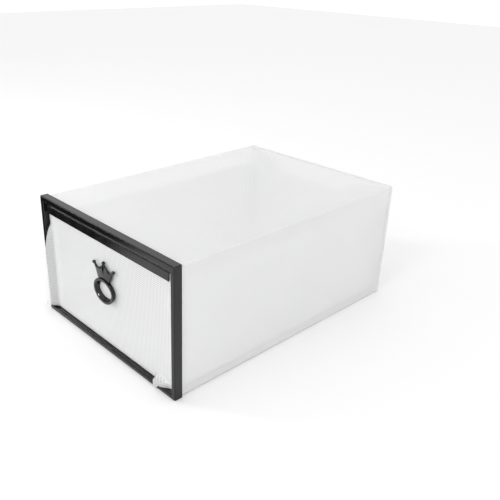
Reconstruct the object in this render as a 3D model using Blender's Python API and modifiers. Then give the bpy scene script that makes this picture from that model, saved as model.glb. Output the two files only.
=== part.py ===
"""Drawer-front shoe box: a folded sleeve with a moulded front frame, and a folded drawer with a pull.

Metres, +Z up. The front faces -Y, and the drawer slides out along -Y.
The origin is at the centre of the box's footprint, on the surface that it stands on.
Blender 4.5: blender --background --python part.py
"""
import math

import bmesh
import bpy
from mathutils import Matrix, Vector

# Driving sizes of the whole box
BOX_WIDTH = 0.230
BOX_HEIGHT = 0.140
BOX_DEPTH = 0.330
SHEET = 0.0007             # thickness of the polypropylene sheet
GAP = 0.0003               # clearance kept between touching pieces
EDGE_STANDS_OUT = 0.0050   # how far the drawer's loose left edge stands in front of the frame
FRONT = -(BOX_DEPTH - EDGE_STANDS_OUT) / 2    # Y of the frame's front plane
BACK = FRONT + BOX_DEPTH                      # Y of the sleeve's back

# Moulded front frame: a channel that is open to the back and holds the sleeve's front edge
FRAME_DEPTH = 0.0089
FRAME_WALL = 0.0013
FRAME_INNER_LEG = FRAME_DEPTH
RIM_SIDE = 0.0053
RIM_TOP = 0.0064
RIM_BOTTOM = 0.0045
FRAME_ROUNDING = 0.0005

# Sleeve: inset inside the frame in front, slightly fuller at the back
SLEEVE_INSET = FRAME_WALL + GAP
SLEEVE_BACK_INSET = 0.0006
SLEEVE_IN_FRAME = 0.0060   # how far the sheet runs into the frame's channel
FOLD_RADIUS = 0.0012

# Drawer
DRAWER_WIDTH = 0.213
DRAWER_FLOOR = RIM_BOTTOM + GAP + SHEET / 2   # Z of the floor's mid-surface
DRAWER_FRONT = FRONT + 0.0050 + SHEET / 2     # Y of the front panel's mid-surface
DRAWER_BACK = BACK - 0.0080
DRAWER_SIDE_TOP = 0.1180
FRONT_PANEL_TOP = 0.1278
PANEL_LAP = 0.0012         # the front panel stands this far in front of the side walls
TAB_LEFT = 0.083
TAB_RIGHT = 0.1045
TAB_RISE = 0.0012          # slit between the tab and the foot of the panel above it
PANEL_FOOT = DRAWER_FLOOR + TAB_RISE
TAB_STANDS_OUT = 0.0010
TAB_DROP_LEFT = 0.0046
TAB_DROP_RIGHT = 0.0008

# Loose left edge of the front panel: it leans out over the frame below LOOSE_TOP
LOOSE_TOP = 0.108
LOOSE_START = -0.1005      # X where the panel starts to curve out
LOOSE_REACH = 0.0081       # sideways growth of the panel at its loose edge
LOOSE_QUICKNESS = 0.2      # share of the height in which the lean grows fastest
LOOSE_CURVE = 1.1          # power of the curve from the flat panel out to the edge
LOOSE_COLUMNS = 6
LOOSE_ROWS = 9

# Edge strip on the top of the drawer's front
STRIP_LEFT = -0.1063
STRIP_RIGHT = 0.1030
STRIP_HEIGHT = 0.0087
STRIP_THICK = 0.0032
STRIP_WALL = 0.0009

# Crown and ring pull
PULL_X = 0.0010
PULL_BACK = DRAWER_FRONT - SHEET / 2 - GAP
RING_DEPTH = 0.0045
RING_HALF_WIDTH = 0.0173
RING_HALF_HEIGHT = 0.0138
RING_RIM = 0.0033
RING_TAPER = 0.0017        # the hole narrows by this towards the panel
RING_OUTER_TAPER = 0.0012  # and so does the outside
RING_Z = 0.0695
RING_SIDES = 48
RING_SOFTNESS = 0.0005
CROWN_THICK = 0.0020
CROWN_Y = PULL_BACK - RING_DEPTH / 2
CROWN_BASE_Z = 0.0790
TIP_RADIUS = 0.0019
SIDE_TIP = (0.0170, 0.0962)
MIDDLE_TIP = (0.0, 0.1006)
GROOVE_HALF = 0.0018
GROOVE_TOP = 0.0972
GROOVE_POINT = 0.0876
GROOVE_DEPTH = 0.0010
POST_X = 0.0055
POST_Z = 0.0870
POST_RADIUS = 0.0016
HEAD_RADIUS = 0.0025
HEAD_DEPTH = 0.0010
PLATE_WIDTH = 0.0220
PLATE_HEIGHT = 0.0090
PLATE_THICK = 0.0012
PLATE_CORNER = 0.0025
HOLE_LENGTH = 0.0040       # length of the cutters for the post holes

ALIGNED = 0.9              # smallest cosine at which a face counts as facing a direction
NEGLIGIBLE = 0.0001        # share of an edge that is too short to split off


def clear_scene():
    """Remove whatever the file holds."""
    for item in list(bpy.data.objects):
        bpy.data.objects.remove(item, do_unlink=True)


def new_collection(name):
    """Return a new collection that is linked to the scene."""
    collection = bpy.data.collections.new(name)
    bpy.context.scene.collection.children.link(collection)
    return collection


def new_material(name, color, roughness, metallic=0.0):
    """Return a Principled material of one colour."""
    material = bpy.data.materials.new(name)
    material.use_nodes = True
    shader = material.node_tree.nodes["Principled BSDF"]
    shader.inputs["Base Color"].default_value = (*color, 1.0)
    shader.inputs["Roughness"].default_value = roughness
    shader.inputs["Metallic"].default_value = metallic
    return material


def add_object(name, bm, collection, material=None):
    """Turn a bmesh into a named object in a collection."""
    mesh = bpy.data.meshes.new(name)
    bm.to_mesh(mesh)
    bm.free()
    item = bpy.data.objects.new(name, mesh)
    collection.objects.link(item)
    if material:
        mesh.materials.append(material)
    return item


def box_bmesh(low, high):
    """Return a box between two corners."""
    bm = bmesh.new()
    bmesh.ops.create_cube(bm, size=1.0)
    size = Vector(high) - Vector(low)
    centre = (Vector(high) + Vector(low)) / 2
    bmesh.ops.scale(bm, vec=size, verts=bm.verts)
    bmesh.ops.translate(bm, vec=centre, verts=bm.verts)
    return bm


def facing(bm, direction):
    """Return the faces whose normals point along a direction."""
    bm.normal_update()
    direction = Vector(direction)
    return [face for face in bm.faces if face.normal.dot(direction) > ALIGNED]


def edges_where(bm, test):
    """Return the edges whose two vertices pass a test on their position."""
    return [edge for edge in bm.edges if all(test(vert.co) for vert in edge.verts)]


def fold(bm, edges, offset):
    """Extrude a row of edges by an offset and return the new row of edges."""
    made = bmesh.ops.extrude_edge_only(bm, edges=edges)["geom"]
    verts = [item for item in made if isinstance(item, bmesh.types.BMVert)]
    bmesh.ops.translate(bm, vec=offset, verts=verts)
    return [item for item in made if isinstance(item, bmesh.types.BMEdge)]


def solidify(item, thickness, offset):
    """Give an open surface a thickness: offset -1 grows inwards and 0 both ways."""
    modifier = item.modifiers.new("sheet", "SOLIDIFY")
    modifier.thickness = thickness
    modifier.offset = offset
    modifier.use_even_offset = True


def bevel(item, width, segments=2, angle=40):
    """Round an object's edges."""
    modifier = item.modifiers.new("rounding", "BEVEL")
    modifier.width = width
    modifier.segments = segments
    modifier.limit_method = "ANGLE"
    modifier.angle_limit = math.radians(angle)


def boolean(item, other, operation):
    """Add a Boolean of another object."""
    modifier = item.modifiers.new(operation.lower(), "BOOLEAN")
    modifier.operation = operation
    modifier.solver = "EXACT"
    modifier.object = other


def hide_cutter(item):
    """Show a cutter as a wire and keep it out of renders."""
    item.hide_render = True
    item.display_type = "WIRE"


def smooth(item, angle=35):
    """Shade an object smooth, with sharp edges above an angle."""
    item.data.shade_smooth()
    item.data.set_sharp_from_angle(angle=math.radians(angle))


def cylinder_along_y(name, collection, centre, radius, length, sides=24):
    """Return a cylinder whose axis runs along Y."""
    bm = bmesh.new()
    turn = Matrix.Rotation(math.radians(90), 4, "X")
    bmesh.ops.create_cone(bm, cap_ends=True, segments=sides, radius1=radius, radius2=radius, depth=length,
                          matrix=Matrix.Translation(centre) @ turn)
    return add_object(name, bm, collection)


def make_frame(parts, material):
    """Front frame: outer wall, front rim and inner leg, as one channel moulding."""
    half = BOX_WIDTH / 2
    bm = box_bmesh((-half, FRONT, 0), (half, FRONT + FRAME_DEPTH, BOX_HEIGHT))
    bmesh.ops.delete(bm, geom=facing(bm, (0, 1, 0)), context="FACES_ONLY")
    front = facing(bm, (0, -1, 0))
    bmesh.ops.inset_region(bm, faces=front, thickness=RIM_SIDE, use_even_offset=True)
    opening = front[0]
    for vert in opening.verts:
        vert.co.z = BOX_HEIGHT - RIM_TOP if vert.co.z > BOX_HEIGHT / 2 else RIM_BOTTOM
    rim = list(opening.edges)
    bmesh.ops.delete(bm, geom=[opening], context="FACES_ONLY")
    fold(bm, rim, (0, FRAME_INNER_LEG, 0))
    bmesh.ops.recalc_face_normals(bm, faces=bm.faces)
    if any(face.normal.y > ALIGNED for face in bm.faces):
        bmesh.ops.reverse_faces(bm, faces=bm.faces)
    frame = add_object("front_frame", bm, parts, material)
    solidify(frame, FRAME_WALL, -1)
    bevel(frame, FRAME_ROUNDING)
    return frame


def make_sleeve(parts, material):
    """Outer sleeve: a folded sheet tube, open in front and closed at the back."""
    half = BOX_WIDTH / 2
    start = FRONT + FRAME_DEPTH - SLEEVE_IN_FRAME
    bm = box_bmesh((-half + SLEEVE_INSET, start, SLEEVE_INSET),
                   (half - SLEEVE_INSET, BACK, BOX_HEIGHT - SLEEVE_INSET))
    for vert in bm.verts:
        if vert.co.y > 0:
            vert.co.x = math.copysign(half - SLEEVE_BACK_INSET, vert.co.x)
            vert.co.z = BOX_HEIGHT - SLEEVE_BACK_INSET if vert.co.z > BOX_HEIGHT / 2 else 0.0
    bmesh.ops.delete(bm, geom=facing(bm, (0, -1, 0)), context="FACES_ONLY")
    open_rim = edges_where(bm, lambda place: place.y < 0)
    folds = [edge for edge in bm.edges if edge not in open_rim]
    bmesh.ops.bevel(bm, geom=folds, offset=FOLD_RADIUS, segments=2, profile=0.5, affect="EDGES")
    sleeve = add_object("outer_sleeve", bm, parts, material)
    solidify(sleeve, SHEET, -1)
    return sleeve


def lean_at(height):
    """Return how far the loose edge leans out at a height: 0 at LOOSE_TOP and above, 1 at the foot."""
    down = (LOOSE_TOP - height) / (LOOSE_TOP - PANEL_FOOT)
    return down * (1 + LOOSE_QUICKNESS) / (down + LOOSE_QUICKNESS) if down > 0 else 0.0


def lean_out(place):
    """Return where a point of the flat front panel lies once its left edge leans out."""
    across = (LOOSE_START - place.x) / (LOOSE_START + DRAWER_WIDTH / 2)
    if across <= 0:
        return place
    lean = lean_at(place.z)
    reach = DRAWER_FRONT - FRONT + EDGE_STANDS_OUT - SHEET / 2
    sideways = LOOSE_REACH * lean ** 2 * across
    forwards = reach * lean * across ** LOOSE_CURVE
    return Vector((place.x - sideways, place.y - forwards, place.z))


def front_panel_columns():
    """Return the X of each column of the front panel, closer together where it curves."""
    half = DRAWER_WIDTH / 2
    curve_step = (LOOSE_START + half) / LOOSE_COLUMNS
    curved = [-half + curve_step * index for index in range(LOOSE_COLUMNS + 1)]
    return curved + [LOOSE_START / 2, 0.0, TAB_LEFT / 2, TAB_LEFT, TAB_RIGHT, half]


def front_panel_rows():
    """Return the Z of each row of the front panel, closer together where the loose edge starts to lean."""
    drop = LOOSE_TOP - PANEL_FOOT
    leaning = [LOOSE_TOP - drop * (index / LOOSE_ROWS) ** 2 for index in range(LOOSE_ROWS, -1, -1)]
    return leaning + [FRONT_PANEL_TOP]


def split_edge(bm, edge, columns):
    """Split a level edge that runs along X at each column."""
    for column in columns:
        left, right = sorted(edge.verts, key=lambda vert: vert.co.x)
        share = (column - left.co.x) / (right.co.x - left.co.x)
        if NEGLIGIBLE < share < 1 - NEGLIGIBLE:
            made, _ = bmesh.utils.edge_split(edge, left, share)
            edge = max((made, edge), key=lambda item: sum(vert.co.x for vert in item.verts))


def make_tray(parts, cutters, material):
    """Folded drawer: floor, sides, back, and a front panel that is fixed along part of its foot."""
    half = DRAWER_WIDTH / 2
    wall_front = DRAWER_FRONT + PANEL_LAP
    bm = box_bmesh((-half, wall_front, DRAWER_FLOOR), (half, DRAWER_BACK, DRAWER_SIDE_TOP))
    bmesh.ops.delete(bm, geom=facing(bm, (0, 0, 1)) + facing(bm, (0, -1, 0)), context="FACES_ONLY")
    folds = [edge for edge in bm.edges if len(edge.link_faces) == 2]
    bmesh.ops.bevel(bm, geom=folds, offset=FOLD_RADIUS, segments=2, profile=0.5, affect="EDGES")

    columns = front_panel_columns()
    at_front = edges_where(bm, lambda place: place.y < wall_front + GAP and place.z < DRAWER_FLOOR + GAP)
    floor_edge = max(at_front, key=lambda edge: edge.calc_length())
    split_edge(bm, floor_edge, columns)
    floor_row = [edge for edge in edges_where(bm, lambda place: place.y < wall_front + GAP
                                              and abs(place.z - DRAWER_FLOOR) < GAP / 10)
                 if len(edge.link_faces) == 1]
    lip = fold(bm, floor_row, (0, -PANEL_LAP, 0))
    tab_row = [edge for edge in lip
               if all(TAB_LEFT - GAP < vert.co.x < TAB_RIGHT + GAP for vert in edge.verts)]
    tab_end = fold(bm, tab_row, (0, FRONT - TAB_STANDS_OUT - DRAWER_FRONT, 0))
    tab_foot = fold(bm, tab_end, (0, 0, -TAB_DROP_RIGHT))
    for vert in {vert for edge in tab_foot for vert in edge.verts}:
        if vert.co.x < (TAB_LEFT + TAB_RIGHT) / 2:
            vert.co.z = DRAWER_FLOOR - TAB_DROP_LEFT

    rows = front_panel_rows()
    made = bmesh.ops.create_grid(bm, x_segments=len(columns) - 1, y_segments=len(rows) - 1, size=1.0)
    grid = made["verts"]
    for vert in grid:
        column = round((vert.co.x + 1) / 2 * (len(columns) - 1))
        row = round((vert.co.y + 1) / 2 * (len(rows) - 1))
        vert.co = Vector((columns[column], DRAWER_FRONT, rows[row]))
    foot_row = [edge for edge in edges_where(bm, lambda place: abs(place.z - rows[0]) < GAP / 10
                                             and abs(place.y - DRAWER_FRONT) < GAP / 10)
                if min(vert.co.x for vert in edge.verts) > LOOSE_START - GAP
                and not all(TAB_LEFT - GAP < vert.co.x < TAB_RIGHT + GAP for vert in edge.verts)
                and max(vert.co.x for vert in edge.verts) < half - FOLD_RADIUS / 2]
    fold(bm, foot_row, (0, 0, -TAB_RISE))
    for vert in grid:
        vert.co = lean_out(vert.co)
    bmesh.ops.remove_doubles(bm, verts=bm.verts, dist=GAP / 10)
    bmesh.ops.recalc_face_normals(bm, faces=bm.faces)

    tray = add_object("drawer_tray", bm, parts, material)
    solidify(tray, SHEET, 0)
    for side in (-1, 1):
        hole = cylinder_along_y(f"post_hole_{side}", cutters, (PULL_X + side * POST_X, DRAWER_FRONT, POST_Z),
                                POST_RADIUS + GAP, HOLE_LENGTH)
        hide_cutter(hole)
        boolean(tray, hole, "DIFFERENCE")
    return tray


def make_strip(parts, material):
    """Edge strip: a channel pushed down over the top edge of the drawer's front."""
    bottom = FRONT_PANEL_TOP + STRIP_WALL + GAP - STRIP_HEIGHT
    bm = box_bmesh((STRIP_LEFT, DRAWER_FRONT - STRIP_THICK / 2, bottom),
                   (STRIP_RIGHT, DRAWER_FRONT + STRIP_THICK / 2, bottom + STRIP_HEIGHT))
    open_sides = facing(bm, (0, 0, -1)) + facing(bm, (1, 0, 0)) + facing(bm, (-1, 0, 0))
    bmesh.ops.delete(bm, geom=open_sides, context="FACES_ONLY")
    strip = add_object("drawer_top_strip", bm, parts, material)
    solidify(strip, STRIP_WALL, -1)
    bevel(strip, STRIP_WALL / 4)
    return strip


def ring_loop(bm, outward, depth):
    """Return one closed loop of ring vertices, offset from the middle line of the rim."""
    half_width = RING_HALF_WIDTH - RING_RIM / 2
    half_height = RING_HALF_HEIGHT - RING_RIM / 2
    loop = []
    for index in range(RING_SIDES):
        angle = 2 * math.pi * index / RING_SIDES
        normal = Vector((half_height * math.cos(angle), half_width * math.sin(angle))).normalized()
        loop.append(bm.verts.new((PULL_X + half_width * math.cos(angle) + outward * normal.x,
                                  PULL_BACK - depth,
                                  RING_Z + half_height * math.sin(angle) + outward * normal.y)))
    return loop


def ring_bmesh():
    """Oval ring: a rounded rim section swept round an ellipse, narrower at the back inside and out."""
    half = RING_RIM / 2
    soft = RING_SOFTNESS
    outer_back = half - RING_OUTER_TAPER
    section = ((outer_back - soft, 0), (outer_back, soft),
               (half, RING_DEPTH - soft), (half - soft, RING_DEPTH),
               (soft - half, RING_DEPTH), (-half, RING_DEPTH - soft),
               (-half - RING_TAPER, soft), (soft - half - RING_TAPER, 0))
    bm = bmesh.new()
    loops = [ring_loop(bm, outward, depth) for outward, depth in section]
    for index, loop in enumerate(loops):
        following = loops[(index + 1) % len(loops)]
        for step in range(RING_SIDES):
            after = (step + 1) % RING_SIDES
            bm.faces.new((loop[step], loop[after], following[after], following[step]))
    bmesh.ops.recalc_face_normals(bm, faces=bm.faces)
    return bm


def crown_outline():
    """Return the right half of the crown as (x, z) points from its base up to the middle."""
    return ((0.0, CROWN_BASE_Z), (0.0088, CROWN_BASE_Z + 0.0008), (0.0117, 0.0866), (0.0148, 0.0928),
            (0.0166, 0.0954), (0.0156, 0.0958), (0.0136, 0.0939), (0.0101, 0.0924), (0.0076, 0.0931),
            (0.0048, 0.0950), (0.0024, 0.0972), (0.0009, 0.1000))


def flat_outline(name, points, centre_y, thickness, collection):
    """Return a mesh plate with an outline in X and Z, made from a filled 2D curve."""
    curve = bpy.data.curves.new(name, "CURVE")
    curve.dimensions = "2D"
    curve.fill_mode = "BOTH"
    curve.extrude = thickness / 2
    spline = curve.splines.new("POLY")
    spline.points.add(len(points) - 1)
    spline.use_cyclic_u = True
    for point, (across, up) in zip(spline.points, points):
        point.co = (across, up, 0, 1)
    item = bpy.data.objects.new(name, curve)
    collection.objects.link(item)
    item.matrix_world = Matrix.Translation((PULL_X, centre_y, 0)) @ Matrix.Rotation(math.radians(90), 4, "X")
    bpy.context.view_layer.update()
    evaluated = item.evaluated_get(bpy.context.evaluated_depsgraph_get())
    mesh = bpy.data.meshes.new_from_object(evaluated)
    plate = bpy.data.objects.new(name, mesh)
    plate.matrix_world = item.matrix_world.copy()
    collection.objects.link(plate)
    bpy.data.objects.remove(item, do_unlink=True)
    bm = bmesh.new()
    bm.from_mesh(mesh)
    bmesh.ops.remove_doubles(bm, verts=bm.verts, dist=GAP / 100)
    bmesh.ops.recalc_face_normals(bm, faces=bm.faces)
    bm.to_mesh(mesh)
    bm.free()
    plate.name = name
    return plate


def make_pull(parts, cutters, material):
    """Crown and ring pull: one moulding with two posts that are staked behind the panel."""
    pull = add_object("crown_ring_pull", ring_bmesh(), parts, material)

    half = crown_outline()
    outline = list(half) + [(-across, up) for across, up in reversed(half[1:])]
    joined = [flat_outline("crown_plate", outline, CROWN_Y, CROWN_THICK, cutters)]
    for number, (across, up) in enumerate((MIDDLE_TIP, SIDE_TIP, (-SIDE_TIP[0], SIDE_TIP[1]))):
        bm = bmesh.new()
        bmesh.ops.create_uvsphere(bm, u_segments=16, v_segments=10, radius=TIP_RADIUS,
                                  matrix=Matrix.Translation((PULL_X + across, CROWN_Y, up)))
        joined.append(add_object(f"crown_tip_{number}", bm, cutters))
    post_end = DRAWER_FRONT + SHEET / 2 + PLATE_THICK + 3 * GAP
    for side in (-1, 1):
        post_x = PULL_X + side * POST_X
        post_length = post_end + HEAD_DEPTH / 2 - CROWN_Y
        joined.append(cylinder_along_y(f"post_{side}", cutters,
                                       (post_x, CROWN_Y + post_length / 2, POST_Z), POST_RADIUS,
                                       post_length))
        joined.append(cylinder_along_y(f"post_head_{side}", cutters,
                                       (post_x, post_end + HEAD_DEPTH / 2, POST_Z), HEAD_RADIUS,
                                       HEAD_DEPTH))
    for item in joined:
        hide_cutter(item)
        boolean(pull, item, "UNION")

    groove = flat_outline("crown_groove", ((-GROOVE_HALF, GROOVE_TOP), (GROOVE_HALF, GROOVE_TOP),
                                           (0.0, GROOVE_POINT)),
                          CROWN_Y - CROWN_THICK / 2, 2 * GROOVE_DEPTH, cutters)
    hide_cutter(groove)
    boolean(pull, groove, "DIFFERENCE")
    smooth(pull)
    return pull


def make_backing_plate(parts, cutters, material):
    """Backing plate behind the front panel, held by the two staked posts."""
    front = DRAWER_FRONT + SHEET / 2 + GAP
    bm = box_bmesh((PULL_X - PLATE_WIDTH / 2, front, POST_Z - PLATE_HEIGHT / 2),
                   (PULL_X + PLATE_WIDTH / 2, front + PLATE_THICK, POST_Z + PLATE_HEIGHT / 2))
    corners = [edge for edge in bm.edges if abs(edge.verts[0].co.y - edge.verts[1].co.y) > PLATE_THICK / 2]
    bmesh.ops.bevel(bm, geom=corners, offset=PLATE_CORNER, segments=4, profile=0.5, affect="EDGES")
    plate = add_object("pull_backing_plate", bm, parts, material)
    for side in (-1, 1):
        hole = cylinder_along_y(f"plate_hole_{side}", cutters,
                                (PULL_X + side * POST_X, front + PLATE_THICK / 2, POST_Z), POST_RADIUS + GAP,
                                HOLE_LENGTH)
        hide_cutter(hole)
        boolean(plate, hole, "DIFFERENCE")
    bevel(plate, PLATE_THICK / 6, segments=1)
    return plate


def main():
    """Build the shoe box."""
    clear_scene()
    parts = new_collection("shoe_box")
    cutters = new_collection("shoe_box_cutters")
    frosted = (0.86, 0.87, 0.87)
    black = (0.030, 0.030, 0.032)
    make_sleeve(parts, new_material("sleeve_frosted_sheet", frosted, 0.42))
    make_frame(parts, new_material("frame_black_moulding", black, 0.36))
    make_tray(parts, cutters, new_material("drawer_frosted_sheet", frosted, 0.42))
    make_strip(parts, new_material("strip_black_moulding", black, 0.38))
    make_pull(parts, cutters, new_material("pull_black_moulding", black, 0.28))
    make_backing_plate(parts, cutters, new_material("plate_black_moulding", black, 0.45))
    bpy.context.view_layer.update()


main()
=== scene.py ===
"""Looks of the drawer-front shoe box: frosted folded sheets, a black front frame and a crown pull.

Metres, +Z up. The front faces -Y, and the drawer slides out along -Y.
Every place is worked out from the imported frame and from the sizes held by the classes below.
"""
import logging
import math
from collections.abc import Callable, Iterable
from dataclasses import dataclass, field
from enum import Enum

import bmesh
import bpy
from mathutils import Matrix, Vector


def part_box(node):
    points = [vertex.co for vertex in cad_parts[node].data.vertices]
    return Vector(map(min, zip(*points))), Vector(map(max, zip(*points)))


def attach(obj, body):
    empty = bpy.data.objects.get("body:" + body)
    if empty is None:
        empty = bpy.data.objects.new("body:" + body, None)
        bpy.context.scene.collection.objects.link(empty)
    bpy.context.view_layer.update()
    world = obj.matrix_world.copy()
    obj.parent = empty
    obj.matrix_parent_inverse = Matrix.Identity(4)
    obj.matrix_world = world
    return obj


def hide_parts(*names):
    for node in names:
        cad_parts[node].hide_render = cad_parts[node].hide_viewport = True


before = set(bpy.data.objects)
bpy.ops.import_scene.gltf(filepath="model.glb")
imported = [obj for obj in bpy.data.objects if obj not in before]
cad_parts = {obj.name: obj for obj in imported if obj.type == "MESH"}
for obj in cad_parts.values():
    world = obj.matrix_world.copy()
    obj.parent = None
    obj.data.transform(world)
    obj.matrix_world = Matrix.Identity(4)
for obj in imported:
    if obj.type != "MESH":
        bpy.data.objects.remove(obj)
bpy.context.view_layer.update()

LOG = logging.getLogger("shoe_box")
GAP = 0.0003
SHEET = 0.0007
WELD = 0.00001
SHARP_ANGLE = 40.0
PLATE_ROUNDING = 0.00008
DRAWER_PITCH = 0.0030

Point = tuple[float, float]
Socket = bpy.types.NodeSocket


class Body(Enum):
    """The two bodies that pieces ride on."""

    CASE = "case"
    DRAWER = "drawer"


class Gloss(Enum):
    """How polished a moulding comes out of its tool, as a roughness."""

    POLISHED = 0.10
    SATIN = 0.16
    MATTE = 0.40


# --------------------------------------------------------------------------------------------------
# Shader effects, each made once and shared by the materials
# --------------------------------------------------------------------------------------------------


class Effect:
    """A shader node group with named inputs and outputs, and helpers to fill it."""

    def __init__(self, name: str, inputs: dict[str, float], outputs: Iterable[str]) -> None:
        """Make an empty group.

        Args:
            name: Name of the group.
            inputs: Default value of each float input.
            outputs: Names of the float outputs.
        """
        self.tree = bpy.data.node_groups.new(name, "ShaderNodeTree")
        for label, value in inputs.items():
            socket = self.tree.interface.new_socket(label, in_out="INPUT", socket_type="NodeSocketFloat")
            socket.default_value = value
        for label in outputs:
            self.tree.interface.new_socket(label, in_out="OUTPUT", socket_type="NodeSocketFloat")
        self.given = self.tree.nodes.new("NodeGroupInput").outputs
        self.result = self.tree.nodes.new("NodeGroupOutput").inputs

    def math(self, operation: str, first: Socket | float, second: Socket | float = 0.0) -> Socket:
        """Add a Math node and return its result."""
        return math_node(self.tree, operation, first, second)

    def noise(self, place: Socket, scale: Socket | float, detail: float) -> Socket:
        """Add a noise texture.

        Args:
            place: Coordinates that it is read at.
            scale: Its scale, in turns a metre.
            detail: Number of finer layers.

        Returns:
            Its value.
        """
        node = self.tree.nodes.new("ShaderNodeTexNoise")
        node.inputs["Detail"].default_value = detail
        feed(self.tree, place, node.inputs["Vector"])
        feed(self.tree, scale, node.inputs["Scale"])
        return node.outputs["Fac"]

    def ramp(self, value: Socket, low: float, high: float) -> Socket:
        """Stretch a value.

        Args:
            value: The value.
            low: What becomes 0.
            high: What becomes 1.

        Returns:
            The stretched value, held between 0 and 1.
        """
        node = self.tree.nodes.new("ShaderNodeMapRange")
        feed(self.tree, value, node.inputs["Value"])
        node.inputs["From Min"].default_value = low
        node.inputs["From Max"].default_value = high
        return node.outputs["Result"]

    def output(self, label: str, value: Socket) -> None:
        """Connect a value to a named output."""
        self.tree.links.new(value, self.result[label])


def feed(tree: bpy.types.NodeTree, value: Socket | float, target: Socket) -> None:
    """Set an input socket to a number, or link another socket to it.

    Args:
        tree: Node tree of both sockets.
        value: The number or the other socket.
        target: The input socket.
    """
    if isinstance(value, (int, float)):
        target.default_value = value
    else:
        tree.links.new(value, target)


def math_node(tree: bpy.types.NodeTree, operation: str, first: Socket | float,
              second: Socket | float) -> Socket:
    """Add a Math node to a tree.

    Args:
        tree: Node tree of a material or a group.
        operation: Blender's name of the operation.
        first: First value.
        second: Second value, which some operations leave unused.

    Returns:
        The node's output.
    """
    node = tree.nodes.new("ShaderNodeMath")
    node.operation = operation
    feed(tree, first, node.inputs[0])
    feed(tree, second, node.inputs[1])
    return node.outputs[0]


def embossed_hatch() -> bpy.types.NodeTree:
    """Make the rolled emboss of the sheet.

    Two crossing diagonal waves make a lattice on upright faces, and level faces have single ribs.

    Returns:
        A group with the input Pitch and the outputs Height and Thin, each from 0 to 1.
    """
    effect = Effect("embossed_hatch", {"Pitch": 0.0016}, ("Height", "Thin"))
    tree = effect.tree
    place = tree.nodes.new("ShaderNodeTexCoord")
    split = tree.nodes.new("ShaderNodeSeparateXYZ")
    tree.links.new(place.outputs["Object"], split.inputs[0])
    facing = tree.nodes.new("ShaderNodeSeparateXYZ")
    tree.links.new(place.outputs["Normal"], facing.inputs[0])
    level = effect.ramp(effect.math("ABSOLUTE", facing.outputs["Z"]), 0.6, 0.8)
    turns = effect.math("DIVIDE", math.sqrt(2) * math.pi, effect.given["Pitch"])

    along = effect.math("ADD", split.outputs["X"], split.outputs["Y"])
    across = effect.math("SUBTRACT", split.outputs["X"], split.outputs["Y"])

    def wave(distance: Socket) -> Socket:
        """Return a sine of a distance, with one turn a pitch across the ribs."""
        return effect.math("SINE", effect.math("MULTIPLY", distance, turns))

    rising = wave(effect.math("ADD", along, split.outputs["Z"]))
    falling = wave(effect.math("SUBTRACT", along, split.outputs["Z"]))
    upright = effect.math("MULTIPLY", rising, falling)
    lying = effect.math("ADD", effect.math("MULTIPLY", wave(along), 0.5),
                        effect.math("MULTIPLY", wave(across), 0.2))
    upright_share = effect.math("SUBTRACT", 1.0, level)
    blended = effect.math("ADD", effect.math("MULTIPLY", upright, upright_share),
                          effect.math("MULTIPLY", lying, level))
    effect.output("Height", effect.ramp(blended, -1.0, 1.0))
    effect.output("Thin", effect.ramp(blended, -0.35, 0.45))
    return tree


def cloudiness() -> bpy.types.NodeTree:
    """Make the slow unevenness of a surface, from handling or from an uneven roll.

    Returns:
        A group with the input Size, in metres, and the outputs Broad and Streak, about 0 to 1.
    """
    effect = Effect("cloudiness", {"Size": 0.05}, ("Broad", "Streak"))
    tree = effect.tree
    place = tree.nodes.new("ShaderNodeTexCoord").outputs["Object"]
    scale = effect.math("DIVIDE", 1.0, effect.given["Size"])
    effect.output("Broad", effect.ramp(effect.noise(place, scale, 2.0), 0.3, 0.7))
    stretch = tree.nodes.new("ShaderNodeMapping")
    stretch.inputs["Scale"].default_value = (1.0, 0.12, 1.0)
    tree.links.new(place, stretch.inputs["Vector"])
    finer = effect.math("MULTIPLY", scale, 6.0)
    effect.output("Streak", effect.ramp(effect.noise(stretch.outputs[0], finer, 3.0), 0.3, 0.7))
    return tree


def tool_grain() -> bpy.types.NodeTree:
    """Make the fine spark-eroded grain that a mould leaves.

    Returns:
        A group with the input Size, in metres, and the outputs Height and Speck.
    """
    effect = Effect("tool_grain", {"Size": 0.0004}, ("Height", "Speck"))
    place = effect.tree.nodes.new("ShaderNodeTexCoord").outputs["Object"]
    scale = effect.math("DIVIDE", 1.0, effect.given["Size"])
    fine = effect.noise(place, scale, 2.0)
    effect.output("Height", fine)
    rare = effect.noise(place, effect.math("MULTIPLY", scale, 0.35), 4.0)
    effect.output("Speck", effect.ramp(rare, 0.62, 0.72))
    return effect.tree


def edge_wear() -> bpy.types.NodeTree:
    """Make the rubbed lines along outer edges, broken up by noise.

    Returns:
        A group with the inputs Reach and Breakup and the output Mask, from 0 to 1.
    """
    effect = Effect("edge_wear", {"Reach": 0.06, "Breakup": 90.0}, ("Mask",))
    tree = effect.tree
    sharpness = tree.nodes.new("ShaderNodeNewGeometry").outputs["Pointiness"]
    place = tree.nodes.new("ShaderNodeTexCoord").outputs["Object"]
    over = effect.math("SUBTRACT", sharpness, 0.5)
    share = effect.math("DIVIDE", over, effect.given["Reach"])
    clamped = effect.ramp(share, 0.0, 1.0)
    broken = effect.noise(place, effect.given["Breakup"], 3.0)
    effect.output("Mask", effect.math("MULTIPLY", clamped, effect.ramp(broken, 0.35, 0.6)))
    return tree


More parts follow.
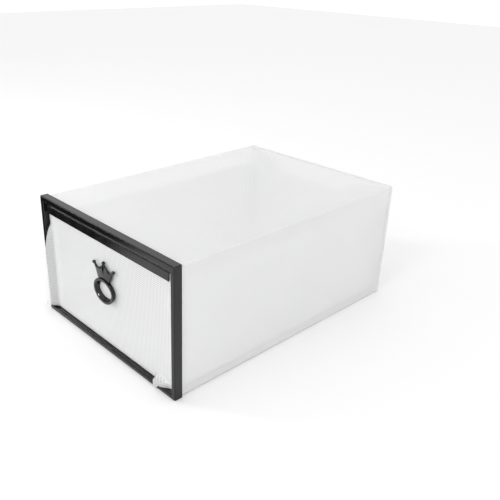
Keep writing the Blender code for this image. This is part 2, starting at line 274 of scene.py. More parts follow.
class EffectShelf:
    """Keeps each shared effect, and makes it the first time that it is asked for."""

    def __init__(self) -> None:
        """Start with nothing made."""
        self.made: dict[str, bpy.types.NodeTree] = {}

    def place(self, material: bpy.types.Material, maker: Callable[[], bpy.types.NodeTree],
              **values: float) -> bpy.types.ShaderNodeGroup:
        """Put an effect into a material.

        Args:
            material: The material.
            maker: The function that makes the effect.
            **values: Input values, by socket name.

        Returns:
            The group node.
        """
        if maker.__name__ not in self.made:
            self.made[maker.__name__] = maker()
        node = material.node_tree.nodes.new("ShaderNodeGroup")
        node.node_tree = self.made[maker.__name__]
        for label, value in values.items():
            node.inputs[label].default_value = value
        return node


EFFECTS = EffectShelf()


# --------------------------------------------------------------------------------------------------
# Finishes
# --------------------------------------------------------------------------------------------------


def new_material(name: str) -> tuple[bpy.types.Material, bpy.types.ShaderNodeBsdfPrincipled]:
    """Make a material.

    Args:
        name: Name of the material.

    Returns:
        The material and its Principled BSDF.
    """
    material = bpy.data.materials.new(name)
    material.use_nodes = True
    return material, material.node_tree.nodes["Principled BSDF"]


def mixed_color(material: bpy.types.Material, share: Socket, first: tuple[float, float, float],
                second: tuple[float, float, float]) -> Socket:
    """Blend two colours by a share.

    Args:
        material: The material that the node goes in.
        share: 0 for the first colour, 1 for the second.
        first: First colour, linear.
        second: Second colour, linear.

    Returns:
        The blended colour.
    """
    node = material.node_tree.nodes.new("ShaderNodeMix")
    node.data_type = "RGBA"
    node.inputs["A"].default_value = (*first, 1.0)
    node.inputs["B"].default_value = (*second, 1.0)
    material.node_tree.links.new(share, node.inputs["Factor"])
    return node.outputs["Result"]


def bumped(material: bpy.types.Material, height: Socket, distance: float, strength: float,
           below: Socket | None = None) -> Socket:
    """Add a Bump node.

    Args:
        material: The material that the node goes in.
        height: Height from 0 to 1.
        distance: Depth of a height of 1, in metres.
        strength: Strength of the bump.
        below: Normal of another bump under this one.

    Returns:
        The bumped normal.
    """
    node = material.node_tree.nodes.new("ShaderNodeBump")
    node.inputs["Distance"].default_value = distance
    node.inputs["Strength"].default_value = strength
    material.node_tree.links.new(height, node.inputs["Height"])
    if below is not None:
        material.node_tree.links.new(below, node.inputs["Normal"])
    return node.outputs["Normal"]


@dataclass(frozen=True)
class FrostedSheet:
    """Translucent polypropylene sheet with a rolled diagonal emboss."""

    name: str
    cover_thin: float
    cover_thick: float
    color: tuple[float, float, float] = (0.925, 0.926, 0.928)
    shade: tuple[float, float, float] = (0.908, 0.910, 0.912)
    roughness: float = 0.40
    roughness_spread: float = 0.10
    pitch: float = 0.0016
    emboss_depth: float = 0.00004
    cloud_size: float = 0.06
    cloud_depth: float = 0.0006

    def material(self) -> bpy.types.Material:
        """Make the material.

        Returns:
            The material.
        """
        material, shader = new_material(self.name)
        tree = material.node_tree
        hatch = EFFECTS.place(material, embossed_hatch, Pitch=self.pitch)
        clouds = EFFECTS.place(material, cloudiness, Size=self.cloud_size)
        tree.links.new(mixed_color(material, clouds.outputs["Broad"], self.color, self.shade),
                       shader.inputs["Base Color"])
        spread = math_node(tree, "MULTIPLY", clouds.outputs["Streak"], self.roughness_spread)
        smoothest = self.roughness - self.roughness_spread / 2
        tree.links.new(math_node(tree, "ADD", spread, smoothest), shader.inputs["Roughness"])
        thin = math_node(tree, "MULTIPLY", hatch.outputs["Thin"], self.cover_thick - self.cover_thin)
        tree.links.new(math_node(tree, "ADD", thin, self.cover_thin), shader.inputs["Alpha"])
        slow = bumped(material, clouds.outputs["Broad"], self.cloud_depth, 0.5)
        tree.links.new(bumped(material, hatch.outputs["Height"], self.emboss_depth, 0.6, slow),
                       shader.inputs["Normal"])
        return material


@dataclass(frozen=True)
class BlackMoulding:
    """Black moulded plastic with tool grain, a few specks and rubbed edges."""

    name: str
    gloss: Gloss
    color: tuple[float, float, float] = (0.0040, 0.0040, 0.0043)
    rubbed: tuple[float, float, float] = (0.0085, 0.0085, 0.0090)
    refraction: float = 1.45
    grain_size: float = 0.0004
    grain_depth: float = 0.000006
    speck_share: float = 0.06
    cloud_size: float = 0.03
    cloud_roughness: float = 0.05
    wear_roughness: float = 0.04

    def material(self) -> bpy.types.Material:
        """Make the material.

        Returns:
            The material.
        """
        material, shader = new_material(self.name)
        tree = material.node_tree
        shader.inputs["IOR"].default_value = self.refraction
        wear = EFFECTS.place(material, edge_wear)
        grain = EFFECTS.place(material, tool_grain, Size=self.grain_size)
        clouds = EFFECTS.place(material, cloudiness, Size=self.cloud_size)
        specks = math_node(tree, "MULTIPLY", grain.outputs["Speck"], self.speck_share)
        worn = math_node(tree, "MAXIMUM", wear.outputs["Mask"], specks)
        tree.links.new(mixed_color(material, worn, self.color, self.rubbed), shader.inputs["Base Color"])
        patches = math_node(tree, "MULTIPLY", clouds.outputs["Streak"], self.cloud_roughness)
        polish = math_node(tree, "MULTIPLY", wear.outputs["Mask"], self.wear_roughness)
        uneven = math_node(tree, "ADD", patches, polish)
        tree.links.new(math_node(tree, "ADD", uneven, self.gloss.value), shader.inputs["Roughness"])
        tree.links.new(bumped(material, grain.outputs["Height"], self.grain_depth, 0.5),
                       shader.inputs["Normal"])
        return material


# --------------------------------------------------------------------------------------------------
# Mesh helpers
# --------------------------------------------------------------------------------------------------


def piece_from(name: str, bm: bmesh.types.BMesh, material: bpy.types.Material | None = None,
               sharp_angle: float = SHARP_ANGLE) -> bpy.types.Object:
    """Turn a bmesh into an object that is shaded smooth with sharp edges.

    Args:
        name: Name of the piece.
        bm: The mesh, which is freed.
        material: Its material.
        sharp_angle: Edges over this angle stay sharp, in degrees.

    Returns:
        The object, linked to the scene.
    """
    mesh = bpy.data.meshes.new(name)
    bm.to_mesh(mesh)
    bm.free()
    mesh.shade_smooth()
    mesh.set_sharp_from_angle(angle=math.radians(sharp_angle))
    item = bpy.data.objects.new(name, mesh)
    bpy.context.scene.collection.objects.link(item)
    if material is not None:
        mesh.materials.append(material)
    return item


def settle(item: bpy.types.Object, body: Body, slot: str, *nodes: str) -> bpy.types.Object:
    """Let a piece ride on a body.

    Args:
        item: The piece.
        body: The body.
        slot: Name for the piece's material slot, which is only logged.
        *nodes: CAD nodes that the piece stands for.

    Returns:
        The piece.
    """
    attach(item, body.value)
    if nodes:
        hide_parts(*nodes)
    LOG.info("piece %s rides on %s, slot %s", item.name, body.value, slot)
    return item


def solidified(item: bpy.types.Object, thickness: float, offset: float) -> None:
    """Give an open sheet its thickness.

    Args:
        item: The sheet.
        thickness: Its thickness.
        offset: -1 to grow inwards only, 0 to grow both ways.
    """
    modifier = item.modifiers.new("sheet", "SOLIDIFY")
    modifier.thickness = thickness
    modifier.offset = offset
    modifier.use_even_offset = True


def bevelled(item: bpy.types.Object, width: float, segments: int) -> None:
    """Round an object's edges, with shading that stays flat on its faces.

    Args:
        item: The object.
        width: Width of the rounding.
        segments: Number of steps across it.
    """
    modifier = item.modifiers.new("rounding", "BEVEL")
    modifier.width = width
    modifier.segments = segments
    modifier.limit_method = "ANGLE"
    modifier.angle_limit = math.radians(SHARP_ANGLE)
    modifier.harden_normals = True


def evened(item: bpy.types.Object) -> None:
    """Keep the shading of large faces flat next to their rounded edges."""
    modifier = item.modifiers.new("even_shading", "WEIGHTED_NORMAL")
    modifier.keep_sharp = True


def evaluated_bmesh(item: bpy.types.Object) -> bmesh.types.BMesh:
    """Take the mesh of an object with its modifiers and its place applied.

    Args:
        item: The object.

    Returns:
        The mesh, with doubled vertices merged.
    """
    bpy.context.view_layer.update()
    evaluated = item.evaluated_get(bpy.context.evaluated_depsgraph_get())
    mesh = bpy.data.meshes.new_from_object(evaluated)
    mesh.transform(item.matrix_world)
    bm = bmesh.new()
    bm.from_mesh(mesh)
    bmesh.ops.remove_doubles(bm, verts=bm.verts, dist=WELD)
    bpy.data.meshes.remove(mesh)
    return bm


def quads_between(bm: bmesh.types.BMesh, first: list[bmesh.types.BMVert],
                  second: list[bmesh.types.BMVert], closed: bool) -> None:
    """Fill the space between two rows of vertices with quads.

    Args:
        bm: The mesh.
        first: One row.
        second: The next row, as long as the first.
        closed: Whether the rows are loops.
    """
    count = len(first)
    for index in range(count if closed else count - 1):
        after = (index + 1) % count
        bm.faces.new((first[index], first[after], second[after], second[index]))


def plate_piece(name: str, outline: list[Point], low_y: float, thickness: float,
                material: bpy.types.Material) -> bpy.types.Object:
    """Make a flat upright plate.

    Args:
        name: Name of the piece.
        outline: Its corners as (x, z).
        low_y: Y of the face that looks to the front.
        thickness: Thickness along Y.
        material: Its material.

    Returns:
        The plate.
    """
    bm = bmesh.new()
    face = bm.faces.new([bm.verts.new((across, low_y, up)) for across, up in outline])
    face.normal_update()
    if face.normal.y > 0:
        face.normal_flip()
    made = bmesh.ops.extrude_face_region(bm, geom=[face])["geom"]
    moved = [item for item in made if isinstance(item, bmesh.types.BMVert)]
    bmesh.ops.translate(bm, vec=(0, thickness, 0), verts=moved)
    bmesh.ops.recalc_face_normals(bm, faces=bm.faces)
    item = piece_from(name, bm, material)
    bevelled(item, PLATE_ROUNDING, 2)
    return item


def spaced(start: float, end: float, steps: int) -> list[float]:
    """Return evenly spaced places after the start, up to the end."""
    return [start + (end - start) * step / steps for step in range(1, steps + 1)]


def portion(value: float, start: float, end: float) -> float:
    """Return how far a value has come from start to end, held between 0 and 1."""
    return min(max((value - start) / (end - start), 0.0), 1.0)


def eased(share: float) -> float:
    """Return a share from 0 to 1 with a soft start and a soft end."""
    return share * share * (3 - 2 * share)


def rounded_corner(centre: Point, radius: float, start: float, steps: int = 6) -> list[Point]:
    """Return the points of a quarter turn, anticlockwise.

    Args:
        centre: Centre of the arc, as (x, z).
        radius: Radius of the arc.
        start: Angle where it starts, in degrees.
        steps: Number of straight steps.

    Returns:
        The points, both ends included.
    """
    points = []
    for index in range(steps + 1):
        angle = math.radians(start + 90.0 * index / steps)
        points.append((centre[0] + radius * math.cos(angle), centre[1] + radius * math.sin(angle)))
    return points


# --------------------------------------------------------------------------------------------------
# Case: front frame and sleeve
# --------------------------------------------------------------------------------------------------


@dataclass
class FrontFrame:
    """Moulded channel frame that holds the sleeve's front edge."""

    wall: float = 0.0013
    rim_side: float = 0.0053
    rim_top: float = 0.0064
    rim_bottom: float = 0.0045
    rounding: float = 0.0010
    end_rounding: float = 0.00025
    low: Vector = field(default_factory=lambda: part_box("front_frame")[0])
    high: Vector = field(default_factory=lambda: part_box("front_frame")[1])

    def build(self, finish: bpy.types.Material) -> bpy.types.Object:
        """Make the frame.

        Args:
            finish: Its material.

        Returns:
            The frame, which stands for the CAD frame.
        """
        bm = bmesh.new()
        bmesh.ops.create_cube(bm, size=1.0)
        bmesh.ops.scale(bm, vec=self.high - self.low, verts=bm.verts)
        bmesh.ops.translate(bm, vec=(self.high + self.low) / 2, verts=bm.verts)
        bm.normal_update()
        back = [face for face in bm.faces if face.normal.y > 0.9]
        bmesh.ops.delete(bm, geom=back, context="FACES_ONLY")
        front = next(face for face in bm.faces if face.normal.y < -0.9)
        bmesh.ops.inset_region(bm, faces=[front], thickness=self.rim_side, use_even_offset=True)
        middle = (self.high.z + self.low.z) / 2
        opening_low, opening_high = self.low.z + self.rim_bottom, self.high.z - self.rim_top
        for vert in front.verts:
            vert.co.z = opening_high if vert.co.z > middle else opening_low
        rim = list(front.edges)
        bmesh.ops.delete(bm, geom=[front], context="FACES_ONLY")
        made = bmesh.ops.extrude_edge_only(bm, edges=rim)["geom"]
        leg = [item for item in made if isinstance(item, bmesh.types.BMVert)]
        bmesh.ops.translate(bm, vec=(0, self.high.y - self.low.y, 0), verts=leg)
        bmesh.ops.recalc_face_normals(bm, faces=bm.faces)
        if any(face.normal.y > 0.9 for face in bm.faces):
            bmesh.ops.reverse_faces(bm, faces=bm.faces)
        folds = [edge for edge in bm.edges if len(edge.link_faces) == 2]
        bmesh.ops.bevel(bm, geom=folds, offset=self.rounding, segments=4, profile=0.5, affect="EDGES")
        item = piece_from("front_frame_moulding", bm, finish)
        solidified(item, self.wall, -1)
        bevelled(item, self.end_rounding, 2)
        evened(item)
        return settle(item, Body.CASE, "frame_moulding", "front_frame")


@dataclass
class Sleeve:
    """Folded sheet tube, slightly slimmer in front where it enters the frame."""

    front_inset: float = 0.0010
    fold_radius: float = 0.0016
    fold_steps: int = 5
    panel_steps: int = 14
    stations: int = 34
    sag: float = 0.00045
    ripple: float = 0.00022
    lap_width: float = 0.016
    lap_slant: float = 0.008
    lap_front: float = 0.012
    lap_back: float = 0.006
    lap_thickness: float = SHEET * 0.8
    flap_width: float = 0.058
    flap_corner: float = 0.006
    flap_slant: float = 0.012
    tuck_height: float = 0.062
    thumb_radius: float = 0.010
    thumb_steps: int = 14
    low: Vector = field(default_factory=lambda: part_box("outer_sleeve")[0])
    high: Vector = field(default_factory=lambda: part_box("outer_sleeve")[1])

    def outline(self, inset: float) -> list[tuple[Point, Point, float]]:
        """Return one section of the tube.

        Args:
            inset: How far the section is drawn in from the widest one.

        Returns:
            Each point as (x, z), its outward direction, and its place across its panel from 0 to 1.
        """
        radius = self.fold_radius
        left = self.low.x + inset + radius
        right = self.high.x - inset - radius
        bottom = self.low.z + inset + radius
        top = self.high.z - inset - radius
        corners = (((right, bottom), -90.0), ((right, top), 0.0),
                   ((left, top), 90.0), ((left, bottom), 180.0))
        section = []
        for number, (centre, start) in enumerate(corners):
            arc = rounded_corner(centre, radius, start, self.fold_steps)
            for across, up in arc:
                outward = ((across - centre[0]) / radius, (up - centre[1]) / radius)
                section.append(((across, up), outward, 0.0))
            next_centre, next_start = corners[(number + 1) % len(corners)]
            target = rounded_corner(next_centre, radius, next_start, 1)[0]
            leaving = arc[-1]
            outward = ((leaving[0] - centre[0]) / radius, (leaving[1] - centre[1]) / radius)
            for step in range(1, self.panel_steps):
                share = step / self.panel_steps
                point = (leaving[0] + (target[0] - leaving[0]) * share,
                         leaving[1] + (target[1] - leaving[1]) * share)
                section.append((point, outward, share))
        return section

    def swell(self, share: float, travel: float, facing: Point) -> float:
        """Return how far a panel stands out of its flat plane.

        Args:
            share: Place across the panel, 0 at its folds.
            travel: Place along the sleeve, 0 in front and 1 at the back.
            facing: The panel's outward direction.

        Returns:
            The distance outwards, negative for a sag.
        """
        crown = math.sin(math.pi * share) * math.sin(math.pi * min(travel * 1.05, 1.0))
        slow_wave = math.sin(7.3 * travel + 5.1 * share + 2.0 * facing[0])
        wander = slow_wave * math.sin(3.1 * share * math.pi)
        fade = math.sin(math.pi * share) * min(travel * 6.0, 1.0)
        lies_on_floor = facing[1] < -0.5
        return 0.0 if lies_on_floor else self.ripple * wander * fade - self.sag * crown

    def tube(self, finish: bpy.types.Material) -> bpy.types.Object:
        """Make the tube.

        Args:
            finish: Its material.

        Returns:
            The tube, which stands for the CAD sleeve.
        """
        bm = bmesh.new()
        rows = []
        for station in range(self.stations + 1):
            travel = station / self.stations
            place_y = self.low.y + (self.high.y - self.low.y) * travel
            row = []
            for (across, up), outward, share in self.outline(self.front_inset * (1 - travel)):
                out = self.swell(share, travel, outward)
                row.append(bm.verts.new((across + outward[0] * out, place_y, up + outward[1] * out)))
            rows.append(row)
        for first, second in zip(rows, rows[1:]):
            quads_between(bm, first, second, closed=True)
        bmesh.ops.recalc_face_normals(bm, faces=bm.faces)
        outer = max(bm.faces, key=lambda face: face.calc_center_median().z)
        if outer.normal.z < 0:
            bmesh.ops.reverse_faces(bm, faces=bm.faces)
        item = piece_from("sleeve_tube", bm, finish, 60)
        solidified(item, SHEET, -1)
        return settle(item, Body.CASE, "sleeve_sheet", "outer_sleeve")

    def back_flaps(self, finish: bpy.types.Material) -> list[bpy.types.Object]:
        """Make the outer back flap, the tuck flap, and the two side flaps under it.

        Args:
            finish: Their material.

        Returns:
            The four flaps.
        """
        inside = SHEET + GAP
        left, right = self.low.x + inside, self.high.x - inside
        bottom, top = self.low.z + inside, self.high.z - inside
        corner, slant = self.flap_corner, self.flap_slant
        outline = [(left, top), *rounded_corner((left + corner, bottom + corner), corner, 180.0)]
        for step in range(self.thumb_steps + 1):
            angle = math.pi - math.pi * step / self.thumb_steps
            outline.append((self.thumb_radius * math.cos(angle),
                            bottom + self.thumb_radius * math.sin(angle)))
        outline += [*rounded_corner((right - corner, bottom + corner), corner, 270.0), (right, top)]
        outer_y = self.high.y - SHEET - GAP
        made = [plate_piece("sleeve_back_flap", outline, outer_y, SHEET, finish)]
        tuck_top = bottom + self.tuck_height
        tuck = [(left + GAP, bottom), (right - GAP, bottom),
                (right - slant, tuck_top), (left + slant, tuck_top)]
        made.append(plate_piece("sleeve_tuck_flap", tuck, outer_y - SHEET - GAP, SHEET, finish))
        side_y = outer_y - 2 * (SHEET + GAP)
        for name, edge, inward in (("left", left, 1), ("right", right, -1)):
            reach = edge + inward * self.flap_width
            flap = [(edge, bottom + GAP), (reach, bottom + slant), (reach, top - slant),
                    (edge, top - GAP)]
            made.append(plate_piece(f"sleeve_side_flap_{name}", flap, side_y, SHEET, finish))
        return [settle(item, Body.CASE, "sleeve_sheet") for item in made]

    def glue_lap(self, finish: bpy.types.Material) -> bpy.types.Object:
        """Make the glued lap inside the left wall, where the sheet's two ends meet.

        Args:
            finish: Its material.

        Returns:
            The lap.
        """
        bm = bmesh.new()
        clear = self.front_inset + self.sag + self.ripple + SHEET + GAP
        start_y, end_y = self.low.y + self.lap_front, self.high.y - self.lap_back
        left = self.low.x + clear
        low_z = self.low.z + self.front_inset + self.fold_radius
        rows = []
        for up, slant in ((low_z, 0.0), (low_z + self.lap_width, self.lap_slant)):
            rows.append([bm.verts.new((left, place_y, up))
                         for place_y in (start_y + slant, end_y - slant)])
        quads_between(bm, rows[0], rows[1], closed=False)
        item = piece_from("sleeve_glue_lap", bm, finish)
        solidified(item, self.lap_thickness, 0)
        return settle(item, Body.CASE, "sleeve_sheet")

    def build(self, finish: bpy.types.Material) -> None:
        """Make every piece of the sleeve.

        Args:
            finish: Their material.
        """
        self.tube(finish)
        self.back_flaps(finish)
        self.glue_lap(finish)


# --------------------------------------------------------------------------------------------------
# Drawer: tub, front panel, strip and pull
# --------------------------------------------------------------------------------------------------


@dataclass
class Drawer:
    """Folded drawer: a tub, and a front panel whose left edge has come loose."""

    half: float = 0.1065
    floor_up: float = 0.00515
    panel_in: float = 0.00535
    side_top: float = 0.1180
    panel_top: float = 0.1278
    lap: float = 0.0012
    fold_radius: float = 0.0013
    foot_rise: float = 0.0012
    foot_steps: int = 5
    loose_top: float = 0.108
    loose_start: float = -0.1005
    loose_columns: int = 16
    loose_reach: float = 0.0081
    loose_forward: float = 0.0100
    loose_quickness: float = 0.2
    loose_curve: float = 1.1
    tab_left: float = 0.083
    tab_right: float = 0.1045
    tab_out: float = 0.0010
    tab_low: float = 0.00045
    tab_high: float = 0.0053
    tab_rise_start: float = 0.22
    tab_rise_end: float = 0.36
    tab_bend_top: float = 0.0128
    tab_bend_foot: float = 0.0072
    tab_bend_steps: int = 9
    tab_drop_steps: int = 4
    flat_columns: int = 30
    tab_columns: int = 16
    upper_rows: int = 6
    lower_rows: int = 36
    row_crowding: float = 1.7
    flap_width: float = 0.012
    flap_slant: float = 0.006
    flap_short: float = 0.002
    flap_thickness: float = SHEET * 0.9
    wall_bow: float = 0.0006
    wall_cuts: int = 11
    long_edge: float = 0.05
    rim_y: float = field(default_factory=lambda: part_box("front_frame")[0].y)
    back_y: float = field(default_factory=lambda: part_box("drawer_tray")[1].y - SHEET / 2)

    @property
    def panel_y(self) -> float:
        """Y of the front panel's mid-surface."""
        return self.rim_y + self.panel_in

    @property
    def panel_foot(self) -> float:
        """Z of the foot of the flat part of the front panel."""
        return self.floor_up + self.foot_rise

    def lean_at(self, height: float) -> float:
        """Return how far the loose edge leans out at a height: 0 at its top and 1 at its foot."""
        down = (self.loose_top - height) / (self.loose_top - self.panel_foot)
        return down * (1 + self.loose_quickness) / (down + self.loose_quickness) if down > 0 else 0.0

    def lean_out(self, place: Vector) -> Vector:
        """Lean a point of the flat panel out with the loose left edge.

        Args:
            place: The point on the flat panel.

        Returns:
            Where the point lies on the leaning panel.
        """
        across = (self.loose_start - place.x) / (self.loose_start + self.half)
        if across <= 0:
            return place
        lean = self.lean_at(place.z)
        sideways = self.loose_reach * lean ** 2 * across
        forwards = self.loose_forward * lean * across ** self.loose_curve
        return Vector((place.x - sideways, place.y - forwards, place.z))

    def tub(self, finish: bpy.types.Material) -> bpy.types.Object:
        """Make the floor, sides and back with rounded folds, as one piece.

        Args:
            finish: Its material.

        Returns:
            The tub, which stands for the CAD tray.
        """
        bm = bmesh.new()
        low = Vector((-self.half, self.panel_y + self.lap, self.floor_up))
        high = Vector((self.half, self.back_y, self.side_top))
        bmesh.ops.create_cube(bm, size=1.0)
        bmesh.ops.scale(bm, vec=high - low, verts=bm.verts)
        bmesh.ops.translate(bm, vec=(high + low) / 2, verts=bm.verts)
        bm.normal_update()
        open_faces = [face for face in bm.faces if face.normal.z > 0.9 or face.normal.y < -0.9]
        bmesh.ops.delete(bm, geom=open_faces, context="FACES_ONLY")
        folds = [edge for edge in bm.edges if len(edge.link_faces) == 2]
        bmesh.ops.bevel(bm, geom=folds, offset=self.fold_radius, segments=4, profile=0.5, affect="EDGES")
        long_edges = [edge for edge in bm.edges if edge.calc_length() > self.long_edge]
        bmesh.ops.subdivide_edges(bm, edges=long_edges, cuts=self.wall_cuts, use_grid_fill=True)
        length = high.y - low.y
        for vert in bm.verts:
            rise = (vert.co.z - low.z) / (high.z - low.z)
            travel = (vert.co.y - low.y) / length
            if abs(vert.co.x) > self.half - WELD:
                bow = self.wall_bow * rise * math.sin(math.pi * travel) * math.sin(2.2 * travel + 0.4)
                vert.co.x -= math.copysign(bow, vert.co.x)
        bmesh.ops.recalc_face_normals(bm, faces=bm.faces)
        item = piece_from("drawer_tub", bm, finish, 60)
        solidified(item, SHEET, 0)
        return settle(item, Body.DRAWER, "drawer_sheet", "drawer_tray")

    def foot_path(self) -> list[Point]:
        """Bend the panel's foot back under to the floor.

        Returns:
            The points of the fold as (y, z).
        """
        centre_y, centre_z = self.panel_y + self.foot_rise, self.floor_up + self.foot_rise
        path = []
        for step in range(1, self.foot_steps + 1):
            angle = math.radians(90.0 * step / self.foot_steps)
            path.append((centre_y - self.foot_rise * math.cos(angle),
                         centre_z - self.foot_rise * math.sin(angle)))
        return path

    def tab_path(self, share: float) -> list[Point]:
        """Lead the tab from the panel out over the frame's lower member and down in front of it.

        Args:
            share: Place across the tab, 0 at its left and 1 at its right.

        Returns:
            The points as (y, z).
        """
        front = self.rim_y - self.tab_out
        front += (self.panel_y - front) * eased(portion(share, self.tab_rise_end, 1.0))
        path = []
        for turned in spaced(0.0, 1.0, self.tab_bend_steps):
            path.append((self.panel_y + (front - self.panel_y) * eased(turned),
                         self.tab_bend_top + (self.tab_bend_foot - self.tab_bend_top) * turned))
        risen = portion(share, self.tab_rise_start, self.tab_rise_end)
        end = self.tab_low + (self.tab_high - self.tab_low) * risen
        path += [(front, height) for height in spaced(self.tab_bend_foot, end, self.tab_drop_steps)]
        return path

    def columns(self) -> list[float]:
        """Space the front panel's columns, closer together where it curves.

        Returns:
            The X of each column, left first.
        """
        curved = [-self.half, *spaced(-self.half, self.loose_start, self.loose_columns)]
        flat = spaced(self.loose_start, self.tab_left, self.flat_columns)
        tab = spaced(self.tab_left, self.tab_right, self.tab_columns)
        return [*curved, *flat, *tab, self.half]

    def rows(self) -> list[float]:
        """Space the front panel's rows, closer together where the lean starts.

        Returns:
            The Z of each row.
        """
        drop = self.loose_top - self.panel_foot
        above = [self.panel_top, *spaced(self.panel_top, self.loose_top, self.upper_rows)[:-1]]
        leaning = [self.loose_top - drop * (step / self.lower_rows) ** self.row_crowding
                   for step in range(self.lower_rows + 1)]
        clear = [up for up in leaning if abs(up - self.tab_bend_top) > self.foot_rise]
        return above + clear + [self.tab_bend_top]

    def front_panel(self, finish: bpy.types.Material) -> bpy.types.Object:
        """Make the front panel with its foot fold, loose edge and tab.

        Args:
            finish: Its material.

        Returns:
            The panel.
        """
        bm = bmesh.new()
        columns = self.columns()
        rows = sorted(self.rows(), reverse=True)
        bend_row = rows.index(self.tab_bend_top)
        in_tab = [self.tab_left - WELD < x < self.tab_right + WELD for x in columns]
        grid = [[bm.verts.new((x, self.panel_y, z)) for x in columns] for z in rows]
        for index in range(len(rows) - 1):
            for column in range(len(columns) - 1):
                if index >= bend_row and in_tab[column] and in_tab[column + 1]:
                    continue
                corners = (grid[index][column], grid[index][column + 1],
                           grid[index + 1][column + 1], grid[index + 1][column])
                bm.faces.new(corners)
        first_tab, last_tab = in_tab.index(True), len(in_tab) - 1 - in_tab[::-1].index(True)
        feet = [(grid[-1][self.loose_columns:first_tab + 1], False),
                (grid[bend_row][first_tab:last_tab + 1], True),
                (grid[-1][last_tab:], False)]
        for above, is_tab in feet:
            paths = []
            for vert in above:
                share = (vert.co.x - self.tab_left) / (self.tab_right - self.tab_left)
                paths.append(self.tab_path(share) if is_tab else self.foot_path())
            for step in range(len(paths[0])):
                below = [bm.verts.new((vert.co.x, *path[step])) for vert, path in zip(above, paths)]
                quads_between(bm, above, below, closed=False)
                above = below
        bmesh.ops.delete(bm, geom=[vert for vert in bm.verts if not vert.link_faces], context="VERTS")
        grid = [[vert for vert in row if vert.is_valid] for row in grid]
        for row in grid:
            for vert in row:
                vert.co = self.lean_out(vert.co)
        bmesh.ops.recalc_face_normals(bm, faces=bm.faces)
        item = piece_from("drawer_front_panel", bm, finish, 60)
        solidified(item, SHEET, 0)
        return settle(item, Body.DRAWER, "drawer_sheet")

    def corner_flaps(self, finish: bpy.types.Material) -> None:
        """Make the glued flaps behind the front panel and inside the back wall.

        Args:
            finish: Their material.
        """
        clear = SHEET / 2 + GAP
        bottom, top = self.floor_up + clear, self.side_top - self.flap_short
        low_slant, high_slant = bottom + self.flap_slant, top - self.flap_slant
        for end, low_y in (("front", self.panel_y + clear), ("back", self.back_y - clear - SHEET)):
            for name, side in (("left", -1), ("right", 1)):
                edge = side * (self.half - clear - self.fold_radius / 2)
                reach = edge - side * self.flap_width
                outline = [(edge, bottom + GAP), (reach, low_slant), (reach, high_slant), (edge, top)]
                flap = plate_piece(f"drawer_flap_{end}_{name}", outline, low_y, self.flap_thickness,
                                   finish)
                settle(flap, Body.DRAWER, "drawer_sheet")

    def build(self, tub_finish: bpy.types.Material, panel_finish: bpy.types.Material) -> None:
        """Make every sheet piece of the drawer.

        Args:
            tub_finish: Material of the tub.
            panel_finish: Material of the front panel and of the flaps.
        """
        self.tub(tub_finish)
        self.front_panel(panel_finish)
        self.corner_flaps(panel_finish)


